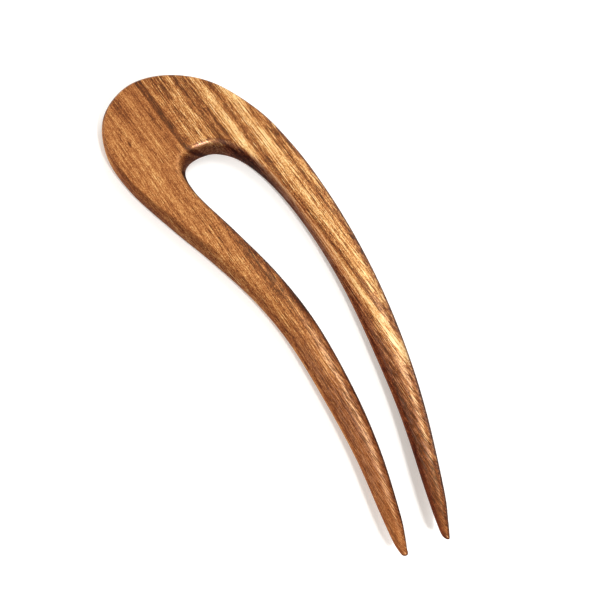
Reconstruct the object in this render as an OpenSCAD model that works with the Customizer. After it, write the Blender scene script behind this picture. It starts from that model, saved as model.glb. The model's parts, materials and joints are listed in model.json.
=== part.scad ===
// A hair fork carved from one piece of hardwood: a broad, flat, rounded
// head that forks into two curved prongs, each tapering to a blunt point.
// It lies on its flat underside, head towards +Y and points towards -Y,
// with its origin on the surface under the middle of its outline.

/* [Fork] */
// Length from the top of the head to the longer point, in mm
fork_l = 152.4; // [130:0.2:180]
// Width across the widest place, from head to right prong, in mm
fork_w = 46.6; // [40:0.2:56]

/* [Wood] */
// Thickness of the head after its underside is planed flat, in mm
head_t = 6.5; // [5:0.1:9]
// How far the rounding of the head's edges reaches in from its side, in mm
edge_r = 1.6; // [1:0.1:2.2]
// How much further the rounding reaches in above the crotch, where hair slides, in mm
crotch_r = 1.3; // [0:0.1:1.6]
// Depth planed off the underside, which makes the face it lies on, in mm
planed = 0.3; // [0.2:0.05:0.5]

/* [Bow] */
// Rise of the points above the flat head, for the curve of the scalp, in mm
bow_h = 4.5; // [2:0.5:10]
// Where the prongs start to rise, as a share of the length below the head's top
bow_start = 0.41; // [0.35:0.01:0.55]

/* [Smoothness] */
// Sections swept between two rows of the table
steps = 5; // [3:1:6]
// Facets on each of a section's four rounded corners
corner_n = 7; // [5:1:9]

/* [Hidden] */

wood = [0.69, 0.45, 0.24];

// One row for each section across the wood, from the right point up its
// prong, round the head and down to the left point:
// [outer edge x, outer edge y, inner edge x, inner edge y, thickness, roundness]
// Places are in mm as drawn, thickness is a share of the head's, and
// roundness goes from 0, a flat head with rounded edges, to 1, a full oval.
SECTIONS = [
    [ -0.9, -77.1,  -1.3, -77.0, 0.07, 1.00],
    [ -0.6, -76.8,  -1.6, -76.6, 0.15, 1.00],
    [ -0.1, -75.9,  -1.9, -75.4, 0.27, 1.00],
    [  1.3, -73.3,  -1.3, -72.3, 0.45, 1.00],
    [  4.7, -66.4,   0.6, -64.9, 0.68, 1.00],
    [ 11.9, -47.7,   5.8, -46.0, 0.89, 1.00],
    [ 17.0, -30.5,   9.2, -29.0, 0.97, 1.00],
    [ 20.8, -12.0,  12.0, -10.5, 1.00, 0.90],
    [ 22.8,   6.0,  13.1,   6.0, 1.00, 0.60],
    [ 23.2,  22.0,  12.6,  21.0, 1.00, 0.25],
    [ 22.3,  36.1,  10.8,  32.4, 1.00, 0.05],
    [ 19.5,  50.4,   7.7,  40.7, 1.00, 0.00],
    [ 12.6,  64.8,   3.5,  45.3, 1.00, 0.00],
    [  2.5,  73.2,  -0.5,  46.5, 1.00, 0.00],
    [ -8.6,  75.3,  -4.0,  46.2, 1.00, 0.00],
    [-18.5,  69.9,  -6.2,  44.8, 1.00, 0.00],
    [-23.1,  59.2,  -7.5,  42.3, 1.00, 0.00],
    [-22.5,  46.5,  -7.9,  38.7, 1.00, 0.00],
    [-18.3,  31.0,  -7.2,  33.0, 1.00, 0.05],
    [-13.3,  15.6,  -3.8,  19.6, 1.00, 0.25],
    [ -9.3,   0.0,  -0.4,   3.5, 1.00, 0.60],
    [ -7.6, -15.0,   1.0, -13.5, 1.00, 0.90],
    [ -8.0, -33.0,  -0.3, -33.8, 0.97, 1.00],
    [ -9.2, -49.0,  -3.1, -50.4, 0.86, 1.00],
    [-11.5, -63.7,  -7.3, -65.6, 0.66, 1.00],
    [-12.5, -70.6,  -9.5, -71.5, 0.46, 1.00],
    [-12.6, -73.4, -10.6, -73.9, 0.28, 1.00],
    [-12.4, -74.8, -11.0, -75.0, 0.16, 1.00],
    [-12.0, -75.2, -11.4, -75.3, 0.07, 1.00],
];
last = len(SECTIONS) - 1;

// Table row i, carried on in a straight line past both ends
function row(i) =
    i < 0 ? 2 * SECTIONS[0] - SECTIONS[1]
    : i > last ? 2 * SECTIONS[last] - SECTIONS[last - 1]
    : SECTIONS[i];

// Smooth curve from row i to row i + 1, at share t of the way
function between(i, t) =
    let (a = row(i - 1), b = row(i), c = row(i + 1), d = row(i + 2))
    0.5 * (2 * b + (c - a) * t + (2 * a - 5 * b + 4 * c - d) * t * t
        + (3 * b - a - 3 * c + d) * t * t * t);

stations = [
    for (i = [0 : last - 1], k = [0 : steps - 1]) between(i, k / steps),
    SECTIONS[last],
];

// Limits of the outline as drawn, which the two driving sizes stretch
edge_x = [for (s = stations) each [s[0], s[2]]];
edge_y = [for (s = stations) each [s[1], s[3]]];
drawn_x = [min(edge_x), max(edge_x)];
drawn_y = [min(edge_y), max(edge_y)];
scale_x = fork_w / (drawn_x[1] - drawn_x[0]);
scale_y = fork_l / (drawn_y[1] - drawn_y[0]);

// A drawn place, stretched to the driving sizes and centred on the origin
function placed(x, y) = [
    (x - (drawn_x[0] + drawn_x[1]) / 2) * scale_x,
    (y - (drawn_y[0] + drawn_y[1]) / 2) * scale_y,
];

// Height by which the prongs have risen at y
bow_y = fork_l * (0.5 - bow_start);
bow_run = bow_y + fork_l / 2;
function rise(y) = y < bow_y ? bow_h * pow((bow_y - y) / bow_run, 2) : 0;

// How much of the crotch's extra rounding there is where the inner edge is at
// y: none beside the prongs, all of it round the crotch
function crotch_share(y) =
    let (t = min(max((y / fork_l - 0.24) / 0.05, 0), 1))
    t * t * (3 - 2 * t);

// How far a corner reaches across and up. It is an upright quarter of an
// oval, nearly half the thickness high, and across it goes from the edge
// rounding r to nearly half the width.
full_corner = 0.95;
function reach_across(half_w, roundness, r) =
    let (widest = full_corner * half_w)
    min(r + (widest - r) * roundness, widest);
function reach_up(half_t) = full_corner * half_t;

// Points of one section: four rounded corners joined by short flats
blank_t = head_t + planed;
function ring(s) =
    let (
        outer = placed(s[0], s[1]),
        inner = placed(s[2], s[3]),
        middle = (outer + inner) / 2,
        half_w = norm(outer - inner) / 2,
        across = (outer - inner) / (2 * half_w),
        half_t = s[4] * blank_t / 2,
        roundness = min(max(s[5], 0), 1),
        softer = crotch_r * crotch_share(inner.y),
        reach_t = reach_up(half_t),
        z = blank_t / 2 - planed + rise(middle.y)
    )
    [for (q = [0 : 3], k = [0 : corner_n])
        let (
            a = 90 * (q + k / corner_n),
            side = q == 0 || q == 3 ? 1 : -1,
            level = q < 2 ? 1 : -1,
            r = q == 1 ? edge_r + softer : edge_r,
            reach_w = reach_across(half_w, roundness, r),
            u = side * (half_w - reach_w) + reach_w * cos(a),
            v = level * (half_t - reach_t) + reach_t * sin(a)
        )
        [middle.x + across.x * u, middle.y + across.y * u, z + v]];

ring_n = 4 * (corner_n + 1);
ring_count = len(stations);

// Skin of four-sided facets between neighbouring rings, closed at both points
skin = [
    [for (k = [0 : ring_n - 1]) k],
    for (r = [0 : ring_count - 2], k = [0 : ring_n - 1])
        let (next = (k + 1) % ring_n)
        [r * ring_n + k, (r + 1) * ring_n + k, (r + 1) * ring_n + next, r * ring_n + next],
    [for (k = [ring_n - 1 : -1 : 0]) (ring_count - 1) * ring_n + k],
];

// The carved shape before planing
module blank() {
    polyhedron(points = [for (s = stations) each ring(s)], faces = skin, convexity = 6);
}

// Everything below the surface that the fork lies on
module below_surface() {
    translate([-fork_w, -fork_l, -2 * planed])
        cube([2 * fork_w, 2 * fork_l, 2 * planed]);
}

module fork() {
    color(wood)
    difference() {
        blank();
        below_surface();
    }
}

fork();
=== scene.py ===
# %% [markdown]
# A carved wooden hair fork
#
# The real thing is one flat piece of streaky hardwood, sawn to shape, then
# filed and sanded until the edges are soft, and given a satin finish. It has a
# broad head that leans to the left and two prongs that curve to blunt points.
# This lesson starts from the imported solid, which fixes every size, sweeps the
# same shape again with finer curves, and then spends most of its effort on the
# wood, because a plain shape like this lives by its grain.

# %% Load the fixed frame
import json
import math

import bmesh
import bpy
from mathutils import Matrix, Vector
from mathutils.bvhtree import BVHTree

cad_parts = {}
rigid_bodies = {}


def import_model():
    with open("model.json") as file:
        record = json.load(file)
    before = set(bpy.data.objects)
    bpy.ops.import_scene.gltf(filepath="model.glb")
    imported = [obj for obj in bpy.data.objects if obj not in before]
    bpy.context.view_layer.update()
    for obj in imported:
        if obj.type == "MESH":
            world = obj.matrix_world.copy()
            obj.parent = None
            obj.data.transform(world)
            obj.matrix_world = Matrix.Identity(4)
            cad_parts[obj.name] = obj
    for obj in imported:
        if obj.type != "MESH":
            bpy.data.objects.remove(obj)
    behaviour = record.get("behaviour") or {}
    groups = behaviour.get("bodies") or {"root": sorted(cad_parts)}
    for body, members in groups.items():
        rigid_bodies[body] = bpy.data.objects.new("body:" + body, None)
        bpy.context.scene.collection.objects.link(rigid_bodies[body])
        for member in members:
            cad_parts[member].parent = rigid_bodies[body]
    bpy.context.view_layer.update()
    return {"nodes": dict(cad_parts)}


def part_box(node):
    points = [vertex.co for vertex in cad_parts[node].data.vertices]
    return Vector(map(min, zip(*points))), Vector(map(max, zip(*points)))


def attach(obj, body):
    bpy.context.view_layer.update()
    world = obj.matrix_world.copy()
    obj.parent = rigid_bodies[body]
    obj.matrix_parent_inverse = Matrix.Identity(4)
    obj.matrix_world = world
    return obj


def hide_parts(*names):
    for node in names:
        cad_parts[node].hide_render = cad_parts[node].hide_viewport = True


for leftover in list(bpy.data.objects):
    bpy.data.objects.remove(leftover)
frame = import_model()
fork_low, fork_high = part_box("fork")
fork_size = fork_high - fork_low

MM = 0.001
print("fork in mm:", [round(side / MM, 2) for side in fork_size])

# %% [markdown]
# One row for each section across the wood
#
# A carver would cut this from a paper pattern. Here the pattern is a short
# table with the same rows as the solid's own source: each row is one straight
# line across the wood, from its outer edge to its inner edge, and the rows
# run from the right point up its prong, round the head and down to the left
# point. Each row also says how thick the wood is there, as a share of the
# head, and how round its section is, from 0 on the head to 1 on the prongs.
# The rows were typed and then corrected against the photograph's outline.

# %% The pattern
# outer x, outer y, inner x, inner y, thickness, roundness; places in mm as drawn
SECTIONS = (
    (-0.9, -77.1, -1.3, -77.0, 0.07, 1.00),
    (-0.6, -76.8, -1.6, -76.6, 0.15, 1.00),
    (-0.1, -75.9, -1.9, -75.4, 0.27, 1.00),
    (1.3, -73.3, -1.3, -72.3, 0.45, 1.00),
    (4.7, -66.4, 0.6, -64.9, 0.68, 1.00),
    (11.9, -47.7, 5.8, -46.0, 0.89, 1.00),
    (17.0, -30.5, 9.2, -29.0, 0.97, 1.00),
    (20.8, -12.0, 12.0, -10.5, 1.00, 0.90),
    (22.8, 6.0, 13.1, 6.0, 1.00, 0.60),
    (23.2, 22.0, 12.6, 21.0, 1.00, 0.25),
    (22.3, 36.1, 10.8, 32.4, 1.00, 0.05),
    (19.5, 50.4, 7.7, 40.7, 1.00, 0.00),
    (12.6, 64.8, 3.5, 45.3, 1.00, 0.00),
    (2.5, 73.2, -0.5, 46.5, 1.00, 0.00),
    (-8.6, 75.3, -4.0, 46.2, 1.00, 0.00),
    (-18.5, 69.9, -6.2, 44.8, 1.00, 0.00),
    (-23.1, 59.2, -7.5, 42.3, 1.00, 0.00),
    (-22.5, 46.5, -7.9, 38.7, 1.00, 0.00),
    (-18.3, 31.0, -7.2, 33.0, 1.00, 0.05),
    (-13.3, 15.6, -3.8, 19.6, 1.00, 0.25),
    (-9.3, 0.0, -0.4, 3.5, 1.00, 0.60),
    (-7.6, -15.0, 1.0, -13.5, 1.00, 0.90),
    (-8.0, -33.0, -0.3, -33.8, 0.97, 1.00),
    (-9.2, -49.0, -3.1, -50.4, 0.86, 1.00),
    (-11.5, -63.7, -7.3, -65.6, 0.66, 1.00),
    (-12.5, -70.6, -9.5, -71.5, 0.46, 1.00),
    (-12.6, -73.4, -10.6, -73.9, 0.28, 1.00),
    (-12.4, -74.8, -11.0, -75.0, 0.16, 1.00),
    (-12.0, -75.2, -11.4, -75.3, 0.07, 1.00),
)
STEPS_BETWEEN_ROWS = 12


def between(a, b, c, d, t):
    """A smooth curve through four numbers, at share t of the way from b to c."""
    slope = (c - a) * t
    bend = (2 * a - 5 * b + 4 * c - d) * t * t
    twist = (3 * b - a - 3 * c + d) * t * t * t
    return 0.5 * (2 * b + slope + bend + twist)


def limits(columns):
    """Lowest and highest place that the smooth curve reaches in these columns."""
    places = []
    for i in range(len(SECTIONS) - 1):
        rows = [SECTIONS[min(max(i + k, 0), len(SECTIONS) - 1)] for k in (-1, 0, 1, 2)]
        for step in range(STEPS_BETWEEN_ROWS + 1):
            t = step / STEPS_BETWEEN_ROWS
            for column in columns:
                places.append(between(*(row[column] for row in rows), t))
    return min(places), max(places)


drawn_x = limits((0, 2))
drawn_y = limits((1, 3))
scale_x = fork_size.x / (drawn_x[1] - drawn_x[0])
scale_y = fork_size.y / (drawn_y[1] - drawn_y[0])


def placed(x, y, z=0.0):
    """A drawn place in metres, stretched to the solid's box and centred on it."""
    return Vector((
        (x - sum(drawn_x) / 2) * scale_x,
        (y - sum(drawn_y) / 2) * scale_y,
        z * MM,
    ))


print("drawn outline in mm:", [round(v, 2) for v in (*drawn_x, *drawn_y)])
print("one drawn mm becomes", round(scale_x / MM, 4), "by", round(scale_y / MM, 4), "mm")

# %% [markdown]
# Node maths that reads as Python
#
# Both the shape and the wood below are sums over many places at once, which
# Blender works out with nodes. Wiring dozens of Math nodes by hand hides what
# the sum says, so a small class stands for a node's output. Adding or
# multiplying two of them adds the node that does it. Every other node comes
# from one function, which sets the node's options first, because they decide
# which sockets it has, and then its sockets.


# %% A class for wires and a function for nodes
class Wire:
    """One output of a node, which can be used in a sum."""

    def __init__(self, socket):
        self.socket = socket
        self.tree = socket.id_data

    def output(self, name):
        """Another output of the same node."""
        return Wire(self.socket.node.outputs[name])

    def __add__(self, other):
        return maths("ADD", self, other)

    __radd__ = __add__

    def __sub__(self, other):
        return maths("SUBTRACT", self, other)

    def __rsub__(self, other):
        return maths("SUBTRACT", other, self)

    def __mul__(self, other):
        return maths("MULTIPLY", self, other)

    __rmul__ = __mul__

    def __truediv__(self, other):
        return maths("DIVIDE", self, other)

    def __rtruediv__(self, other):
        return maths("DIVIDE", other, self)

    def __neg__(self):
        return maths("MULTIPLY", self, -1.0)

    def __abs__(self):
        return maths("ABSOLUTE", self)


def is_vector(value):
    """Whether a value has three parts."""
    if isinstance(value, Wire):
        return value.socket.type in {"VECTOR", "RGBA"}
    return isinstance(value, (tuple, Vector))


def chosen(sockets, key):
    """The socket with that number, or the one in use that has that name."""
    if isinstance(key, int):
        return sockets[key]
    return next(socket for socket in sockets if socket.enabled and socket.name == key)


def plug(socket, value):
    """Links a wire to a socket, or sets the socket to a plain value."""
    if isinstance(value, Wire):
        value.tree.links.new(value.socket, socket)
    elif socket.type == "VECTOR" and not is_vector(value):
        socket.default_value = (value, value, value)
    elif socket.type == "RGBA" and len(value) == 3:
        socket.default_value = (*value, 1.0)
    else:
        socket.default_value = value


def set_stops(color_ramp, stops):
    """Gives a colour ramp these stops, each a place from 0 to 1 and a colour."""
    while len(color_ramp.elements) < len(stops):
        color_ramp.elements.new(1.0)
    for element, stop in zip(color_ramp.elements, stops):
        element.position = stop[0]
    for element, stop in zip(color_ramp.elements, stops):
        element.color = stop[1]


def add(tree, kind, settings=None, sockets=None):
    """Adds a node, sets its options and then its sockets, and returns its output."""
    node = tree.nodes.new(kind)
    for name, value in (settings or {}).items():
        if name == "stops":
            set_stops(node.color_ramp, value)
        else:
            setattr(node, name, value)
    for key, value in (sockets or {}).items():
        plug(chosen(node.inputs, key), value)
    outputs = [socket for socket in node.outputs if socket.enabled]
    return Wire(outputs[0]) if outputs else node


def maths(operation, *values):
    """Adds one Math node, or a Vector Math node where a value is a vector."""
    tree = next(value.tree for value in values if isinstance(value, Wire))
    kind = "ShaderNodeVectorMath" if any(map(is_vector, values)) else "ShaderNodeMath"
    return add(tree, kind, {"operation": operation}, dict(enumerate(values)))


def ramp(value, start, end, low=0.0, high=1.0, curve="SMOOTHSTEP"):
    """Goes softly from low to high while value goes from start to end."""
    sockets = {"Value": value, "From Min": start, "From Max": end}
    sockets.update({"To Min": low, "To Max": high})
    return add(value.tree, "ShaderNodeMapRange", {"interpolation_type": curve}, sockets)


def within(value, low, high):
    """The value, kept between low and high."""
    return maths("MINIMUM", maths("MAXIMUM", value, low), high)


def eased(first, second, share):
    """The value that lies between first and second by share."""
    return first + (second - first) * share


def split(vector):
    """The three parts of a vector."""
    x = add(vector.tree, "ShaderNodeSeparateXYZ", None, {"Vector": vector})
    return x, x.output("Y"), x.output("Z")


def joined(tree, x, y, z):
    """A vector from its three parts."""
    return add(tree, "ShaderNodeCombineXYZ", None, {"X": x, "Y": y, "Z": z})


print("a sum of wires adds a node for each of + - * and /")

# %% [markdown]
# The table as a strip of points
#
# The sweep needs the rows as geometry. Each row becomes one point at its
# outer edge, and the other columns ride along as named values on that point.
# When the strip is turned into a smooth curve, all of them are smoothed
# together, so edges, thickness and roundness stay in step.


# %% Lay out the rows
def strip_of_rows():
    """A mesh of linked points, one for each row, which carry the row's values."""
    outer = [placed(row[0], row[1]) for row in SECTIONS]
    links = [(i, i + 1) for i in range(len(SECTIONS) - 1)]
    mesh = bpy.data.meshes.new("fork_wood")
    mesh.from_pydata(outer, links, [])
    inner = mesh.attributes.new("inner", "FLOAT_VECTOR", "POINT")
    for i, row in enumerate(SECTIONS):
        inner.data[i].vector = placed(row[2], row[3])
    for name, column in (("thickness", 4), ("roundness", 5)):
        values = mesh.attributes.new(name, "FLOAT", "POINT")
        values.data.foreach_set("value", [row[column] for row in SECTIONS])
    return mesh


fork = bpy.data.objects.new("fork_wood", strip_of_rows())
bpy.context.scene.collection.objects.link(fork)
print("rows laid out:", len(fork.data.vertices))

# %% [markdown]
# The sweep
#
# On the real fork the edges were rounded by hand: the head keeps a flat face
# with a firm edge, the edge above the crotch is rounder, and towards the
# points the section turns into an oval. A ring of points is laid round each
# section line, as four rounded corners with flats between them. A grid of
# faces is the skin: each of its columns is bent round one section, its last
# row meets its first, and the two end columns shrink to a point, so the skin
# is closed. Geometry Nodes do this well, because the rule is one sum for every
# point of the grid.

# %% Sizes of the sweep
SWEEP = {
    "Steps between rows": STEPS_BETWEEN_ROWS,
    "Points on a corner": 12,
    "Points on a flat": 8,
    "Blank thickness": 6.8 * MM,
    "Planed off below": 0.3 * MM,
    "Edge reach": 1.6 * MM,
    "Softer in the crotch": 1.3 * MM,
    "Softened over": 0.25 * MM,
    "Bow height": 4.49 * MM,
    "Bow start": 0.09 * fork_size.y,
    "Bow run": 0.59 * fork_size.y,
}
# a corner's greatest reach, as a share of half the width or thickness
FULL_CORNER = 0.95
# where the crotch's extra rounding starts and where it is whole, as shares of
# the fork's length above its middle
CROTCH_STARTS = 0.24
CROTCH_WHOLE = 0.29
# points of the skin that are closer than this become one
WELD = 0.001 * MM


def inputs_of(tree):
    """Adds the named inputs to the tree and returns a wire for each."""
    tree.interface.new_socket("Rows", in_out="INPUT", socket_type="NodeSocketGeometry")
    for name, value in SWEEP.items():
        kind = "NodeSocketInt" if isinstance(value, int) else "NodeSocketFloat"
        socket = tree.interface.new_socket(name, in_out="INPUT", socket_type=kind)
        socket.default_value = value
    tree.interface.new_socket("Wood", in_out="INPUT", socket_type="NodeSocketMaterial")
    tree.interface.new_socket("Fork", in_out="OUTPUT", socket_type="NodeSocketGeometry")
    outputs = tree.nodes.new("NodeGroupInput").outputs
    return {socket.name: Wire(socket) for socket in outputs if socket.name}


print("inputs of the sweep:", ", ".join(SWEEP))

# %% Smooth stations along the rows
def stations_along(tree, given):
    """Points along the smooth curve through the rows, with all of their values."""
    curve = add(tree, "GeometryNodeMeshToCurve", None, {"Mesh": given["Rows"]})
    settings = {"spline_type": "CATMULL_ROM"}
    smooth = add(tree, "GeometryNodeCurveSplineType", settings, {"Curve": curve})
    sockets = {"Geometry": smooth, "Resolution": given["Steps between rows"]}
    finer = add(tree, "GeometryNodeSetSplineResolution", None, sockets)
    return add(tree, "GeometryNodeCurveToPoints", {"mode": "EVALUATED"}, {"Curve": finer})


def read_at(stations, number, data_type, value):
    """A value of the stations, read at each grid point's own station number."""
    settings = {"data_type": data_type, "domain": "POINT", "clamp": True}
    sockets = {"Geometry": stations, "Value": value, "Index": number}
    return add(stations.tree, "GeometryNodeSampleIndex", settings, sockets)


def named(tree, name, data_type):
    """A value by its name."""
    return add(tree, "GeometryNodeInputNamedAttribute", {"data_type": data_type}, {"Name": name})


# %% The ring round one section
def corner_reach(half, edge_reach, roundness):
    """How far a rounded corner reaches in from the side of the section."""
    widest = FULL_CORNER * half
    return maths("MINIMUM", edge_reach + (widest - edge_reach) * roundness, widest)


def is_inner_top(quarter):
    """1 for the quarter at the top of the inner edge, 0 for the other three."""
    return 1 - maths("MINIMUM", abs(quarter - 1), 1.0)


def side_of(quarter, turn):
    """Plus or minus 1: on which side of the middle a quarter's corner lies."""
    operation = "COSINE" if turn == "across" else "SINE"
    return maths(operation, (quarter + 0.5) * (math.pi / 2)) * math.sqrt(2)


def edge_reach(given, quarter, inner):
    """How far a corner's rounding reaches in, which is more above the crotch."""
    starts, whole = CROTCH_STARTS * fork_size.y, CROTCH_WHOLE * fork_size.y
    softer = given["Softer in the crotch"] * ramp(split(inner)[1], starts, whole)
    return given["Edge reach"] + softer * is_inner_top(quarter)


def turn_round(given, around):
    """A ring point's quarter, its angle, and its share of the flat after the corner."""
    corner_points = given["Points on a corner"]
    quarter_points = corner_points + given["Points on a flat"]
    quarter = maths("FLOOR", around / quarter_points)
    step = around - quarter * quarter_points
    turned = maths("MINIMUM", step / corner_points, 1.0)
    along_flat = ramp(step, corner_points, quarter_points)
    return quarter, (quarter + turned) * (math.pi / 2), along_flat


def on_ring(given, around, inner, half_wide, half_thick, roundness):
    """How far across and up from the middle of its section a ring point lies."""
    quarter, angle, along_flat = turn_round(given, around)
    corners = (quarter, quarter + 1)
    reach = eased(*(edge_reach(given, corner, inner) for corner in corners), along_flat)
    reach_across = corner_reach(half_wide, reach, roundness)
    reach_up = half_thick * FULL_CORNER
    side = eased(*(side_of(corner, "across") for corner in corners), along_flat)
    level = eased(*(side_of(corner, "up") for corner in corners), along_flat)
    across = side * (half_wide - reach_across) + reach_across * maths("COSINE", angle)
    up = level * (half_thick - reach_up) + reach_up * maths("SINE", angle)
    return across, up


# %% The place of each point of the grid
def read_section(stations, number):
    """The ends of a section line, its thickness and its roundness."""
    tree = stations.tree
    position = add(tree, "GeometryNodeInputPosition")
    outer = read_at(stations, number, "FLOAT_VECTOR", position)
    inner = read_at(stations, number, "FLOAT_VECTOR", named(tree, "inner", "FLOAT_VECTOR"))
    thickness = read_at(stations, number, "FLOAT", named(tree, "thickness", "FLOAT"))
    roundness = read_at(stations, number, "FLOAT", named(tree, "roundness", "FLOAT"))
    return outer, inner, thickness, within(roundness, 0.0, 1.0)


def height_of_middle(given, y):
    """How high the middle of the wood lies at y, with its bow."""
    fall = maths("MAXIMUM", given["Bow start"] - y, 0.0) / given["Bow run"]
    rise = given["Bow height"] * fall * fall
    return given["Blank thickness"] * 0.5 - given["Planed off below"] + rise


def skin_places(tree, given, stations, station_count, ring_count):
    """The place on the wood of every point of the grid."""
    index = add(tree, "GeometryNodeInputIndex")
    column = maths("FLOOR", index / (ring_count + 1))
    around = index - column * (ring_count + 1)
    number = within(column - 1, 0.0, station_count - 1)
    open_share = 1 - abs(column - 1 - number)

    outer, inner, thickness, roundness = read_section(stations, number)
    half_line = (outer - inner) * 0.5
    half_wide = add(tree, "ShaderNodeVectorMath", {"operation": "LENGTH"}, {0: half_line})
    half_thick = thickness * given["Blank thickness"] * 0.5
    across, up = on_ring(given, around, inner, half_wide, half_thick, roundness)

    middle_x, middle_y = split((outer + inner) * 0.5)[:2]
    line_x, line_y = split(half_line)[:2]
    height = height_of_middle(given, middle_y) + up * open_share
    planed = add(tree, "ShaderNodeMath", {"operation": "SMOOTH_MAX"},
                 {0: height, 1: 0.0, 2: given["Softened over"]})
    share = across / half_wide * open_share
    return joined(tree, middle_x + line_x * share, middle_y + line_y * share, planed)


# %% The whole tree
def sweep_tree():
    """Geometry Nodes that turn the strip of rows into the fork's closed skin."""
    tree = bpy.data.node_groups.new("sweep_the_fork", "GeometryNodeTree")
    given = inputs_of(tree)
    stations = stations_along(tree, given)
    settings = {"component": "POINTCLOUD"}
    counted = add(tree, "GeometryNodeAttributeDomainSize", settings, {"Geometry": stations})
    ring_count = (given["Points on a corner"] + given["Points on a flat"]) * 4
    sockets = {"Vertices X": counted + 2, "Vertices Y": ring_count + 1}
    grid = add(tree, "GeometryNodeMeshGrid", None, sockets)
    places = skin_places(tree, given, stations, counted, ring_count)
    bent = add(tree, "GeometryNodeSetPosition", None, {"Geometry": grid, "Position": places})
    sockets = {"Geometry": bent, "Distance": WELD}
    closed = add(tree, "GeometryNodeMergeByDistance", None, sockets)
    sockets = {"Geometry": closed, "Shade Smooth": True}
    smooth = add(tree, "GeometryNodeSetShadeSmooth", None, sockets)
    real = add(tree, "GeometryNodeRealizeInstances", None, {"Geometry": smooth})
    sockets = {"Geometry": real, "Material": given["Wood"]}
    dressed = add(tree, "GeometryNodeSetMaterial", None, sockets)
    plug(tree.nodes.new("NodeGroupOutput").inputs["Fork"], dressed)
    return tree


# %% Sweep the fork and make it a plain mesh
def fixed_mesh(piece):
    """The evaluated shape of a piece as a mesh of its own."""
    ready = piece.evaluated_get(bpy.context.evaluated_depsgraph_get())
    return bpy.data.meshes.new_from_object(ready)


def sweep(piece, wood):
    """Runs the sweep on a strip of rows and leaves the piece a plain mesh."""
    tree = sweep_tree()
    modifier = piece.modifiers.new("Sweep", "NODES")
    modifier.node_group = tree
    values = {**SWEEP, "Wood": wood}
    for socket in tree.interface.items_tree:
        if socket.in_out == "INPUT" and socket.name in values:
            modifier[socket.identifier] = values[socket.name]
    mesh = fixed_mesh(piece)
    piece.modifiers.remove(modifier)
    piece.data = mesh
    mesh.name = piece.name


wood = bpy.data.materials.new("satin_hardwood")
sweep(fork, wood)


def volume_of(mesh):
    """Volume inside a closed mesh, which is negative where its faces point inwards."""
    shape = bmesh.new()
    shape.from_mesh(mesh)
    volume = shape.calc_volume(signed=True)
    shape.free()
    return volume


def distance_to_solid(mesh, solid):
    """Mean and largest distance from a mesh's points to the solid's surface."""
    corners = [vertex.co for vertex in solid.vertices]
    faces = BVHTree.FromPolygons(corners, [face.vertices for face in solid.polygons])
    gaps = [faces.find_nearest(v.co)[3] for v in mesh.vertices]
    return sum(gaps) / len(gaps), max(gaps)


print("fork: points", len(fork.data.vertices), "faces", len(fork.data.polygons),
      "volume in cubic mm", round(volume_of(fork.data) / MM**3, 1))
gaps = distance_to_solid(fork.data, frame["nodes"]["fork"].data)
print("mean and largest distance to the solid in mm:", [round(gap / MM, 3) for gap in gaps])

# %% [markdown]
# Where the wood's layers lie
#
# A board shows stripes because the saw cuts through the tree's yearly layers.
# The layers are sheets inside the wood, so the pattern has to be solid: a
# stripe on the face carries on down the edge and slants across a rounded
# prong. One number says in which layer a point lies. It grows to the right,
# and a little along the fork and upwards, because the layers lean both ways,
# and slow noise bends them as they bend in a tree.

# %% Layer numbers in the wood
LEAN_ALONG = 0.063
LEAN_UP = 0.8
FACE_HEIGHT = 6.5
# how far the layers wander in mm, and the sizes of the noise that bends them
WANDER = 0.6
WANDER_SIZES = (12.0, 30.0, 12.0)
NOISE_ROUGHNESS = 0.55


def noise(spot, sizes, detail, offset):
    """Noise whose grains have these sizes in mm across, along and through the layers."""
    layer, along, depth = spot
    across, length, through = sizes
    place = joined(layer.tree, layer / across + offset, along / length, depth / through)
    sockets = {"Vector": place, "Scale": 1.0, "Detail": detail, "Roughness": NOISE_ROUGHNESS}
    return add(layer.tree, "ShaderNodeTexNoise", {"noise_dimensions": "3D"}, sockets)


def spot_in_wood(tree):
    """The layer number, the place along the grain and the depth in mm, and x in mm."""
    x, y, z = split(add(tree, "ShaderNodeTexCoord").output("Object") * (1 / MM))
    layer = x + y * LEAN_ALONG + (z - FACE_HEIGHT) * LEAN_UP
    depth = z - x * LEAN_UP
    bend = noise((layer, y, depth), WANDER_SIZES, detail=1.0, offset=5.0)
    return (layer + (bend - 0.5) * WANDER, y, depth), x


print("one mm up counts as", LEAN_UP, "layers, and one mm along as", LEAN_ALONG)

# %% [markdown]
# The board, layer by layer
#
# Most of this wood is an even orange brown, but the head's right half and the
# right prong carry strong dark and golden stripes that anyone would know it
# by. They are set down in a chart. Each entry says how light one layer is, from
# 0 for the darkest to 1 for the most golden, and the tone runs evenly between
# entries. A few oval patches lighten or darken a stretch of some layers, where
# the figure changes along the grain. Entries and patches were typed and then
# corrected against the brightness measured in the photograph, layer by layer.
# The chart is cut in two halves, because a colour ramp holds only 32 stops.

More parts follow.
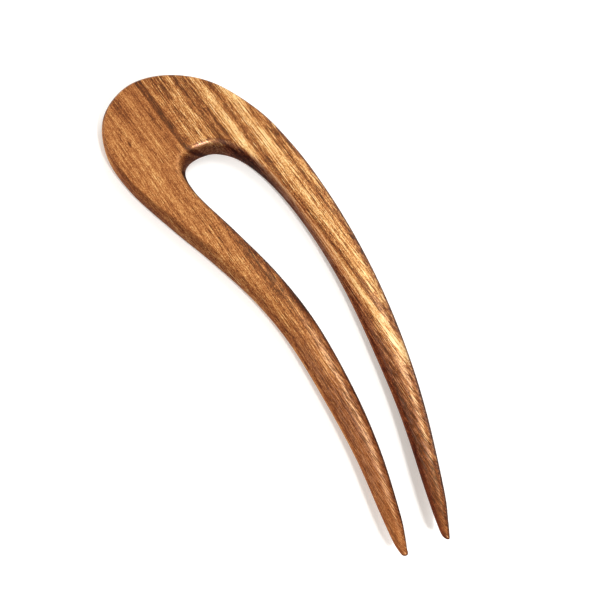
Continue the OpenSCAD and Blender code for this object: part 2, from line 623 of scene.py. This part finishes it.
# %% The chart of layers
# layer in mm, lightness
LEFT_BOARD = (
    (-22.0, 0.40), (-18.5, 0.43), (-17.0, 0.60), (-15.0, 0.50), (-13.8, 0.54),
    (-13.3, 0.46), (-12.8, 0.48), (-11.9, 0.68), (-10.8, 0.53), (-9.3, 0.43),
    (-8.4, 0.52), (-7.4, 0.52), (-6.2, 0.66), (-5.2, 0.47), (-4.3, 0.50),
    (-3.2, 0.38), (-2.3, 0.54), (-1.7, 0.44), (-1.3, 0.12), (-0.7, 0.06),
    (-0.1, 0.18), (0.4, 0.40), (0.9, 0.63), (1.6, 0.57), (2.6, 0.57),
    (4.0, 0.52),
)
RIGHT_BOARD = (
    (4.0, 0.52), (4.6, 0.66), (5.4, 0.76), (6.0, 0.60), (6.9, 0.58),
    (7.5, 0.54), (8.1, 0.28), (8.6, 0.11), (9.1, 0.25), (9.8, 0.38),
    (10.6, 0.30), (11.2, 0.41), (11.9, 0.62), (12.5, 0.90), (13.9, 1.00),
    (14.6, 0.74), (15.2, 0.40), (15.8, 0.30), (16.3, 0.37), (16.9, 0.58),
    (17.4, 0.79), (18.0, 0.96), (18.8, 0.81), (19.5, 0.90), (20.4, 0.58),
    (20.9, 0.41), (21.2, 0.32), (21.7, 0.58), (22.5, 0.50), (24.0, 0.50),
)

# name, layer, place along, half width across, half length (mm), change of lightness
PATCHES = (
    ("crown shade", 3.6, 72.0, 3.8, 8.0, -0.26),
    ("jaw gold", -12.5, 48.0, 5.0, 11.0, 0.08),
    ("cheek shade", -9.3, 70.0, 2.6, 8.0, -0.16),
    ("shoulder shade", 14.2, 69.0, 3.4, 9.0, -0.20),
    ("prong shade", 18.6, -6.0, 4.0, 24.0, -0.12),
    ("prong streak", 15.0, -6.0, 1.0, 26.0, 0.24),
    ("edge gold", 22.7, 26.0, 0.8, 14.0, 0.22),
    ("inner shade", 12.7, -11.0, 1.3, 15.0, -0.22),
    ("low gold", 13.9, -36.0, 1.7, 14.0, 0.24),
    ("first stripe low", -1.7, 44.0, 0.9, 12.0, 0.18),
    ("inner wedge", -3.0, 5.0, 2.0, 17.0, -0.19),
    ("neck inner", -4.6, 21.0, 1.3, 12.0, -0.18),
    ("neck gold", -9.3, 24.0, 1.8, 15.0, 0.12),
    ("left prong", -6.0, -38.0, 10.0, 52.0, -0.12),
    ("right prong low", 8.5, -38.0, 4.0, 16.0, -0.07),
    ("left streak", -4.2, -14.0, 1.3, 17.0, 0.14),
    ("right point", 1.5, -66.0, 5.0, 18.0, -0.10),
)
# layer, place along, half width across and half length, all in mm
KNOT_FLECK = (-12.8, 57.8, 0.35, 1.3)
# lightness of the lower prongs, where the stripes fade out
PLAIN = 0.47


def mixed(a, b, share, blend="MIX"):
    """A colour between a and b, or a blended with b, by share."""
    tree = next(value.tree for value in (a, b, share) if isinstance(value, Wire))
    settings = {"data_type": "RGBA", "blend_type": blend}
    return add(tree, "ShaderNodeMix", settings, {"Factor": share, "A": a, "B": b})


def on_scale(value, scale):
    """The colour of a value on a scale of shares and colours."""
    stops = [(share, (*colour, 1.0)) for share, colour in scale]
    return add(value.tree, "ShaderNodeValToRGB", {"stops": stops}, {"Fac": value})


def board(layer, chart):
    """How light the charted board is in a layer, as a grey."""
    first, last = chart[0][0], chart[-1][0]
    scale = [((place - first) / (last - first), (tone, tone, tone)) for place, tone in chart]
    return on_scale((layer - first) / (last - first), scale)


def patch(spot, middle, along, half_width, half_length):
    """1 in the middle of an oval patch, which fades to 0 at its rim."""
    across = (spot[0] - middle) / half_width
    lengthwise = (spot[1] - along) / half_length
    return ramp(across * across + lengthwise * lengthwise, 1.0, 0.1)


print("layers charted:", len(LEFT_BOARD) + len(RIGHT_BOARD), "patches:", len(PATCHES))

# %% [markdown]
# Marks and places
#
# Between the stripes the wood is all short fibres, open pores and fine dark
# hairs, a quarter of a millimetre wide and a few long. Each kind of mark is one
# noise with grains of its own size, and an offset keeps it apart from the
# others. A place, such as the wall of the crotch, is a product of soft ramps on
# what is known of a point: where it lies, which way it faces and what marks it
# has. Both are written as tables, so that each number stands beside its name.

# %% The marks
# mark: sizes in mm across, along and through the layers, detail, offset
MARKS = {
    "strands": ((1.1, 44.0, 3.0), 1.0, 0.0),
    "fibres": ((0.34, 24.0, 1.8), 1.0, 31.0),
    "lines": ((0.20, 16.0, 1.2), 0.0, 43.0),
    "hairs": ((0.40, 11.0, 1.2), 0.0, 19.0),
    "threads": ((0.15, 2.8, 0.5), 0.0, 11.0),
    "speckle": ((0.15, 0.5, 0.3), 0.0, 97.0),
    "mottle": ((2.6, 6.0, 3.0), 1.0, 57.0),
    "rows": ((0.9, 28.0, 1.2), 0.0, 71.0),
    "pores": ((0.17, 1.6, 0.25), 0.0, 83.0),
}
# how much each mark counts: in the frayed edges of the stripes, in the broad
# unevenness of the tone, and in the relief of the surface
FRAY = {"strands": 0.4, "threads": 0.6, "lines": 0.3}
BROAD = {"strands": 0.24, "fibres": 0.22, "mottle": 0.12}
RELIEF = {"fibres": 0.8, "threads": 0.6, "strands": 0.4, "pore": -0.6}
# mark: how much it counts on plain wood, and what streaky wood adds to that
FINE = {
    "lines": (0.5, 0.8),
    "threads": (0.7, 0.6),
    "speckle": (0.8, 0.4),
    "hair": (-0.09, -0.08),
}


def weighed(at, weights):
    """The sum of several marks, each times its weight."""
    parts = [at[name] * weight for name, weight in weights.items()]
    return sum(parts[1:], start=parts[0])


print("kinds of mark:", ", ".join(MARKS))

# %% The places
# layer, place along, half width across and half length of the crotch, in mm
CROTCH = (1.0, 40.0, 16.0, 24.0)
# how far the gap between the prongs shifts to the right for each mm along
GAP_SLANT = 0.07
RIGHT_PRONG = ("right of the gap", 2.3, 2.9)
# place: what is read of a point, where its ramp starts and ends, and the values
# at both where they aren't 0 and 1
PLACES = {
    "right board": (("frayed layer", 3.99, 4.01),),
    "faded stripes": (("along", -2.0, -22.0), ("frayed layer", 13.8, 12.4)),
    "streaky head": (("layer", -4.0, 5.0),),
    "streaky prongs": (("along", 45.0, 5.0, 0.0, 0.45),),
    "broad marks": (("along", 0.0, 40.0, 0.48, 0.78),),
    "fine marks": (("along", -60.0, 5.0, 0.60, 1.0),),
    "hair": (("hairs", 0.06, 0.18),),
    "pore": (("pores", 0.10, 0.20), ("rows", -0.10, 0.10)),
    "strokes": (("fibres and threads", -0.10, 0.14),),
    "vein": (("past the vein", 1.0, -1.8), ("down", 0.0, 16.0),
             ("down", 54.0, 70.0, 1.0, 0.5), RIGHT_PRONG),
    "lower prongs": (("along", -4.0, -28.0), ("along", -72.0, -52.0, 0.2, 1.0)),
    # painted sheen: the crests of the lower prongs where they face the overhead light
    "crest": (("level", 0.86, 0.96), ("facing right", -0.05, 0.12)),
    # painted reflection: the walls that face left and towards the head
    "left walls": (("level", 0.50, 0.15), ("facing the head", -0.15, 0.10),
                   ("facing right", -0.10, -0.45), ("along", -62.0, -36.0)),
    # end grain and painted shade: walls cut across the fibres, most in the crotch
    "crotch wall": (("across the fibres", 0.05, -0.60), ("level", 1.0, 0.40)),
    # painted shade on the inner wall of the right prong
    "inner wall": (("facing right", -0.70, -0.94), ("along", -16.0, 2.0),
                   ("along", 26.0, 36.0, 1.0, 0.35), RIGHT_PRONG),
    # painted shade, a redder tint on the inner side of the right prong
    "inner side": (("facing right", -0.25, -0.65), RIGHT_PRONG),
    # painted shade on the rounded edge of the neck's left side
    "neck edge": (("level", 0.995, 0.94), ("level", 0.40, 0.70), ("x", -6.0, -9.0),
                  ("facing right", -0.06, -0.26), ("along", 12.0, 24.0), ("along", 60.0, 44.0)),
    # painted shade on the rims that face right and towards the head
    "outer rim": (("level", 0.74, 0.53), ("facing outwards", -0.05, 0.22)),
    "crotch edge": (("level", 0.99, 0.94), ("level", 0.55, 0.72),
                    ("facing the head", -0.10, -0.35), ("facing right", 0.14, -0.04)),
    "satin": (("level", 0.50, 0.90),),
}


def place(at, name):
    """How much a point belongs to a place, from 0 to 1."""
    shares = [ramp(at[read], *limits) for read, *limits in PLACES[name]]
    return math.prod(shares[1:], start=shares[0])


print("places:", ", ".join(PLACES))

# %% [markdown]
# The vein on the right prong
#
# One dark vein doesn't lie with the layers. It leaves the shoulder, runs down
# the inner side of the right prong and follows its bend, and it fills the
# whole point.

# %% The vein
VEIN_EDGE = 13.3
VEIN_SLOPE = -0.01
VEIN_BEND = 0.0022
VEIN_TONE = 0.12
VEIN_STRENGTH = 0.9


def read_vein(at):
    """Adds how far down the prong a point is, and how far past the vein's edge."""
    down = maths("MAXIMUM", -at["along"], 0.0)
    edge = VEIN_EDGE - down * VEIN_SLOPE - down * down * VEIN_BEND
    at["down"] = down
    at["past the vein"] = at["x"] + at["fray"] - edge


print("the vein's edge starts", VEIN_EDGE, "mm to the right")

# %% [markdown]
# The tone of the wood
#
# First everything that is known of a point is gathered under plain names. Then
# one number, the tone, says how light the wood is there. It comes from the
# chart, the patches and the vein, and every mark lightens or darkens it. The
# photograph shows the walls that face left and towards the head lighter, and
# light broken strokes on the crests of the prongs, so the tone rises there as
# painted light: a painted reflection on those walls and a painted sheen in
# broken strokes on the crests.

# %% What is known of a point
# how much a wall near the crotch counts as cut across the fibres, for its end grain and painted
# shade
CROTCH_PULL = 0.35
# how much the right and the head's side count in facing outwards
OUTWARDS = (0.5, 0.87)


def read_point(tree):
    """What the material knows of a point, by name."""
    spot, x = spot_in_wood(tree)
    normal_x, normal_y, normal_z = split(add(tree, "ShaderNodeTexCoord").output("Normal"))
    at = {"spot": spot, "layer": spot[0], "along": spot[1], "x": x}
    at.update({"facing right": normal_x, "facing the head": normal_y, "level": abs(normal_z)})
    at["facing outwards"] = normal_x * OUTWARDS[0] + normal_y * OUTWARDS[1]
    at["crotch"] = patch((x, spot[1]), *CROTCH)
    at["across the fibres"] = normal_y - at["crotch"] * CROTCH_PULL
    at["right of the gap"] = x - spot[1] * GAP_SLANT
    for name, choices in MARKS.items():
        at[name] = noise(spot, *choices) - 0.5
    at["fibres and threads"] = at["fibres"] + at["threads"]
    at["fray"] = weighed(at, FRAY)
    at["frayed layer"] = at["layer"] + at["fray"]
    read_vein(at)
    for name in ("hair", "pore", "strokes", "lower prongs"):
        at[name] = place(at, name)
    return at


# %% From the chart to the tone
# how much darker a pore and the knot fleck are, and how much painted light is
# added: a painted reflection on the walls that face left, and a painted sheen in
# the strokes on the crests
PORE_DEPTH = 0.24
FLECK_DEPTH = 0.35
LEFT_WALL_PAINTED_REFLECTION = 0.28
CREST_PAINTED_SHEEN = 0.36
STROKE_MIDDLE = 0.20


def charted_tone(at):
    """How light the wood is by the chart, the patches and the vein."""
    layer = at["frayed layer"]
    grey = mixed(board(layer, LEFT_BOARD), board(layer, RIGHT_BOARD), place(at, "right board"))
    tone = add(layer.tree, "ShaderNodeRGBToBW", None, {"Color": grey})
    tone = eased(tone, PLAIN, place(at, "faded stripes"))
    for name, *oval, change in PATCHES:
        tone = tone + patch((layer, at["along"]), *oval) * change
    return eased(tone, VEIN_TONE, place(at, "vein") * VEIN_STRENGTH)


def marked_tone(at):
    """The charted tone with every mark on it, and painted light: a reflection on the left walls
    and a sheen on the crests.
    """
    streaky = maths("MAXIMUM", place(at, "streaky head"), place(at, "streaky prongs"))
    weights = {name: streaky * more + plain for name, (plain, more) in FINE.items()}
    fine = weighed(at, weights) - at["pore"] * PORE_DEPTH
    tone = charted_tone(at) + weighed(at, BROAD) * place(at, "broad marks")
    tone = tone + fine * place(at, "fine marks")
    tone = tone - patch(at["spot"], *KNOT_FLECK) * FLECK_DEPTH
    # painted light: a reflection on the walls that face left, and a sheen in broken strokes on
    # the crests of the lower prongs
    tone = tone + place(at, "left walls") * LEFT_WALL_PAINTED_REFLECTION
    crest = place(at, "crest") * at["lower prongs"]
    return tone + crest * (at["strokes"] - STROKE_MIDDLE) * CREST_PAINTED_SHEEN


# %% [markdown]
# Colour and finish
#
# One scale of colours serves the stripes and the marks alike: from purple brown
# through orange brown to gold. The photograph shows some places darker than
# that, and each is multiplied by a colour of its own. On the wall of the crotch
# this is end grain together with painted shade. On the inner wall and side of
# the right prong, the neck's edge and the outer rims it is painted shade, and so
# is the darkening of the rounded edges. They were fitted to the one view that
# there is.
#
# The flat faces are satin and the sides duller. The photograph has a brighter
# gloss in two places: along the rounded edge of the crotch, and in broken
# strokes along the prongs.

# %% Colours of the wood
# share of the scale, colour; the board's own lightness of 1 falls at FULL_GOLD
FULL_GOLD = 0.8
WOOD_SCALE = (
    (0.00, (0.062, 0.012, 0.004)),
    (0.12, (0.130, 0.029, 0.008)),
    (0.24, (0.207, 0.053, 0.013)),
    (0.36, (0.300, 0.093, 0.026)),
    (0.44, (0.388, 0.137, 0.041)),
    (0.56, (0.508, 0.211, 0.065)),
    (0.68, (0.625, 0.312, 0.104)),
    (0.80, (0.735, 0.432, 0.164)),
    (1.00, (0.850, 0.620, 0.310)),
)
# how level the surface is, from 0 on a wall to 1 on a flat face, and the painted
# shade there, darkest partway round a rounded edge
RIM_SCALE = (
    (0.00, (1.00, 1.00, 1.00)),
    (0.30, (1.00, 1.00, 1.00)),
    (0.65, (0.82, 0.80, 0.80)),
    (0.96, (1.00, 1.00, 1.00)),
)
# place: the colour that it is multiplied by, which is painted shade, and on the
# crotch wall end grain too
SHADE_AND_END_GRAIN = {
    "crotch wall": (0.26, 0.22, 0.30),
    "inner wall": (0.36, 0.31, 0.40),
    "inner side": (0.96, 0.80, 0.84),
    "neck edge": (0.60, 0.50, 0.48),
    "outer rim": (0.23, 0.16, 0.14),
}


def wood_colour(at):
    """The colour of the wood, with end grain and painted shade in some places."""
    colour = on_scale(marked_tone(at) * FULL_GOLD, WOOD_SCALE)
    for name, shade in SHADE_AND_END_GRAIN.items():
        colour = mixed(colour, shade, place(at, name), "MULTIPLY")
    # painted shade on the rounded edges, by how level the surface is
    return mixed(colour, on_scale(at["level"], RIM_SCALE), 1.0, "MULTIPLY")


print("darker places:", ", ".join(SHADE_AND_END_GRAIN))

# %% The finish
SATIN_ROUGHNESS = 0.34
# how much rougher strands, pores and the glossy edge are
ROUGHER = {"strands": 0.15, "pore": 0.15, "glossy edge": 0.04}
# coat on the edge of the crotch, and on the strokes along the prongs
EDGE_COAT = 0.85
STROKE_COAT = 0.85
# how metallic the gloss looks, everywhere and on the glossy edge besides
METALLIC = 0.12
EDGE_METALLIC = 0.6
RELIEF_DEPTH = 0.03 * MM
SATIN = {"IOR": 1.5, "Specular Tint": (1.0, 0.80, 0.38, 1.0), "Coat Roughness": 0.31}
DULL = {"Roughness": 0.7, "Specular IOR Level": 0.05}


def dress_in_wood(material):
    """Builds the satin hardwood."""
    material.use_nodes = True
    tree = material.node_tree
    tree.nodes.clear()
    at = read_point(tree)
    colour = wood_colour(at)
    edge = at["glossy edge"] = place(at, "crotch edge") * at["crotch"]
    strokes = at["lower prongs"] * at["strokes"]
    sockets = {"Strength": 0.5, "Distance": RELIEF_DEPTH, "Height": weighed(at, RELIEF)}
    skin = {"Base Color": colour, "Normal": add(tree, "ShaderNodeBump", None, sockets)}
    sockets = {"Roughness": weighed(at, ROUGHER) + SATIN_ROUGHNESS}
    sockets["Metallic"] = edge * EDGE_METALLIC + METALLIC
    sockets["Coat Weight"] = maths("MAXIMUM", edge * EDGE_COAT, strokes * STROKE_COAT)
    satin = add(tree, "ShaderNodeBsdfPrincipled", None, {**skin, **sockets, **SATIN})
    dull = add(tree, "ShaderNodeBsdfPrincipled", None, {**skin, **DULL})
    sockets = {0: place(at, "satin"), 1: dull, 2: satin}
    surface = add(tree, "ShaderNodeMixShader", None, sockets)
    add(tree, "ShaderNodeOutputMaterial", None, {"Surface": surface})


dress_in_wood(wood)
print("wood nodes:", len(wood.node_tree.nodes))

# %% Put the fork in the frame
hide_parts("fork")
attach(fork, "root")

# %% [markdown]
# The table
#
# The fork lies on a plain white surface. It is a big flat sheet, a hair below
# the fork so that the two faces don't share one plane. It is matt white and
# glows a little itself, because the photograph's surface is nearly overexposed.

# %% Floor
FLOOR_SIDE = 3.0
FLOOR_GAP = 0.05 * MM
FLOOR_PAINT = {
    "Base Color": (0.88, 0.88, 0.88),
    "Roughness": 0.7,
    "Specular IOR Level": 0.2,
    "Emission Color": (1.0, 0.96, 0.90),
    "Emission Strength": 0.24,
}


def white_floor():
    """A plain white sheet under the fork."""
    half = FLOOR_SIDE / 2
    mesh = bpy.data.meshes.new("floor")
    corners = [(-half, -half), (half, -half), (half, half), (-half, half)]
    mesh.from_pydata([(x, y, -FLOOR_GAP) for x, y in corners], [], [(0, 1, 2, 3)])
    floor = bpy.data.objects.new("floor", mesh)
    bpy.context.scene.collection.objects.link(floor)
    paint = bpy.data.materials.new("white_paint")
    paint.use_nodes = True
    tree = paint.node_tree
    tree.nodes.clear()
    surface = add(tree, "ShaderNodeBsdfPrincipled", None, FLOOR_PAINT)
    add(tree, "ShaderNodeOutputMaterial", None, {"Surface": surface})
    mesh.materials.append(paint)
    return floor


floor = white_floor()
print("floor:", FLOOR_SIDE, "m a side")

# %% [markdown]
# Camera and light
#
# The photograph was taken from above the points with a fairly long lens. Its
# height of 66 degrees over the table, its turn of 30 degrees and the lens are
# estimates, which come from the bands of edge that show. The light is soft: a
# lamp beyond the points gives the shadow along the left of the prongs, a broad
# panel overhead on the right gives the sheen along their crests, and a weak
# window on the left only fills in a little. Pale walls light the rest,
# brightest on the left and dimmer behind the photographer.

# %% Camera
# side of the picture in pixels, and the size of one of them at the aim
PICTURE = 600
PIXEL_SIZE = 0.2585 * MM
# in degrees
AZIMUTH = -30.3
ELEVATION = 66.0
FIELD_OF_VIEW = 28.0
# the middle of the photograph's outline, in mm as drawn
AIM = placed(0.744, -4.919, 3.3)


def towards(azimuth, elevation):
    """The direction from the fork to a place seen at that azimuth and elevation."""
    a = math.radians(azimuth)
    e = math.radians(elevation)
    return Vector((math.sin(a) * math.cos(e), -math.cos(a) * math.cos(e), math.sin(e)))


def point_at(item, place, aim):
    """Puts a camera or a lamp at a place and turns it to the aim."""
    item.location = place
    item.rotation_mode = "QUATERNION"
    item.rotation_quaternion = (aim - place).to_track_quat("-Z", "Y")


half_view = math.radians(FIELD_OF_VIEW / 2)
distance = PICTURE / 2 * PIXEL_SIZE / math.tan(half_view)
lens = bpy.data.cameras.new("camera")
lens.sensor_fit = "HORIZONTAL"
lens.lens = lens.sensor_width / 2 / math.tan(half_view)
lens.clip_start = 0.01
camera = bpy.data.objects.new("camera", lens)
bpy.context.scene.collection.objects.link(camera)
bpy.context.scene.camera = camera
point_at(camera, AIM + towards(AZIMUTH, ELEVATION) * distance, AIM)
print("camera", round(distance, 3), "m away with a", round(lens.lens, 1), "mm lens")

# %% Lamps
# name, direction from the fork, distance and side in metres, power in watts
LAMPS = (
    ("lamp beyond the points", (0.034, -0.598, 0.80), 1.0, 0.09, 5.4),
    ("panel on the right", (0.57, 0.20, 0.80), 0.9, 0.55, 4.2),
    ("window on the left", (-0.42, -0.45, 0.79), 1.0, 0.50, 0.6),
)
# light from the left wall and from the right wall, and the part of the turn from
# left to right in which one becomes the other
WALL_LIGHT = (1.20, 0.33)
LEFT_TO_RIGHT = (-1.0, 0.6)
# how much of it is left where the photographer stands, and the part of the turn
# from behind to ahead in which it grows to the whole
DIM_BEHIND = 0.4
BEHIND_TO_AHEAD = (-0.9, 0.2)
WALL_COLOUR = (1.0, 0.95, 0.88)


def hang_lamp(name, direction, away, side, power):
    """A square soft lamp that looks at the fork."""
    data = bpy.data.lights.new(name.replace(" ", "_"), "AREA")
    data.size = side
    data.energy = power
    lamp = bpy.data.objects.new(data.name, data)
    bpy.context.scene.collection.objects.link(lamp)
    point_at(lamp, Vector(direction).normalized() * away, Vector((0, 0, 0)))
    return lamp


for row in LAMPS:
    print("lamp:", hang_lamp(*row).name)

world = bpy.data.worlds.new("pale_room")
world.use_nodes = True
world.node_tree.nodes.clear()
look = add(world.node_tree, "ShaderNodeTexCoord").output("Generated")
look_x, look_y = split(look)[:2]
turn = math.radians(AZIMUTH)
rightwards = look_x * math.cos(turn) + look_y * math.sin(turn)
ahead = look_y * math.cos(turn) - look_x * math.sin(turn)
strength = ramp(rightwards, *LEFT_TO_RIGHT, *WALL_LIGHT, curve="LINEAR")
strength = strength * ramp(ahead, *BEHIND_TO_AHEAD, DIM_BEHIND, 1.0, curve="LINEAR")
glow = add(world.node_tree, "ShaderNodeBackground", None,
           {"Color": WALL_COLOUR, "Strength": strength})
add(world.node_tree, "ShaderNodeOutputWorld", None, {"Surface": glow})
bpy.context.scene.world = world
bpy.context.scene.view_settings.view_transform = "Standard"
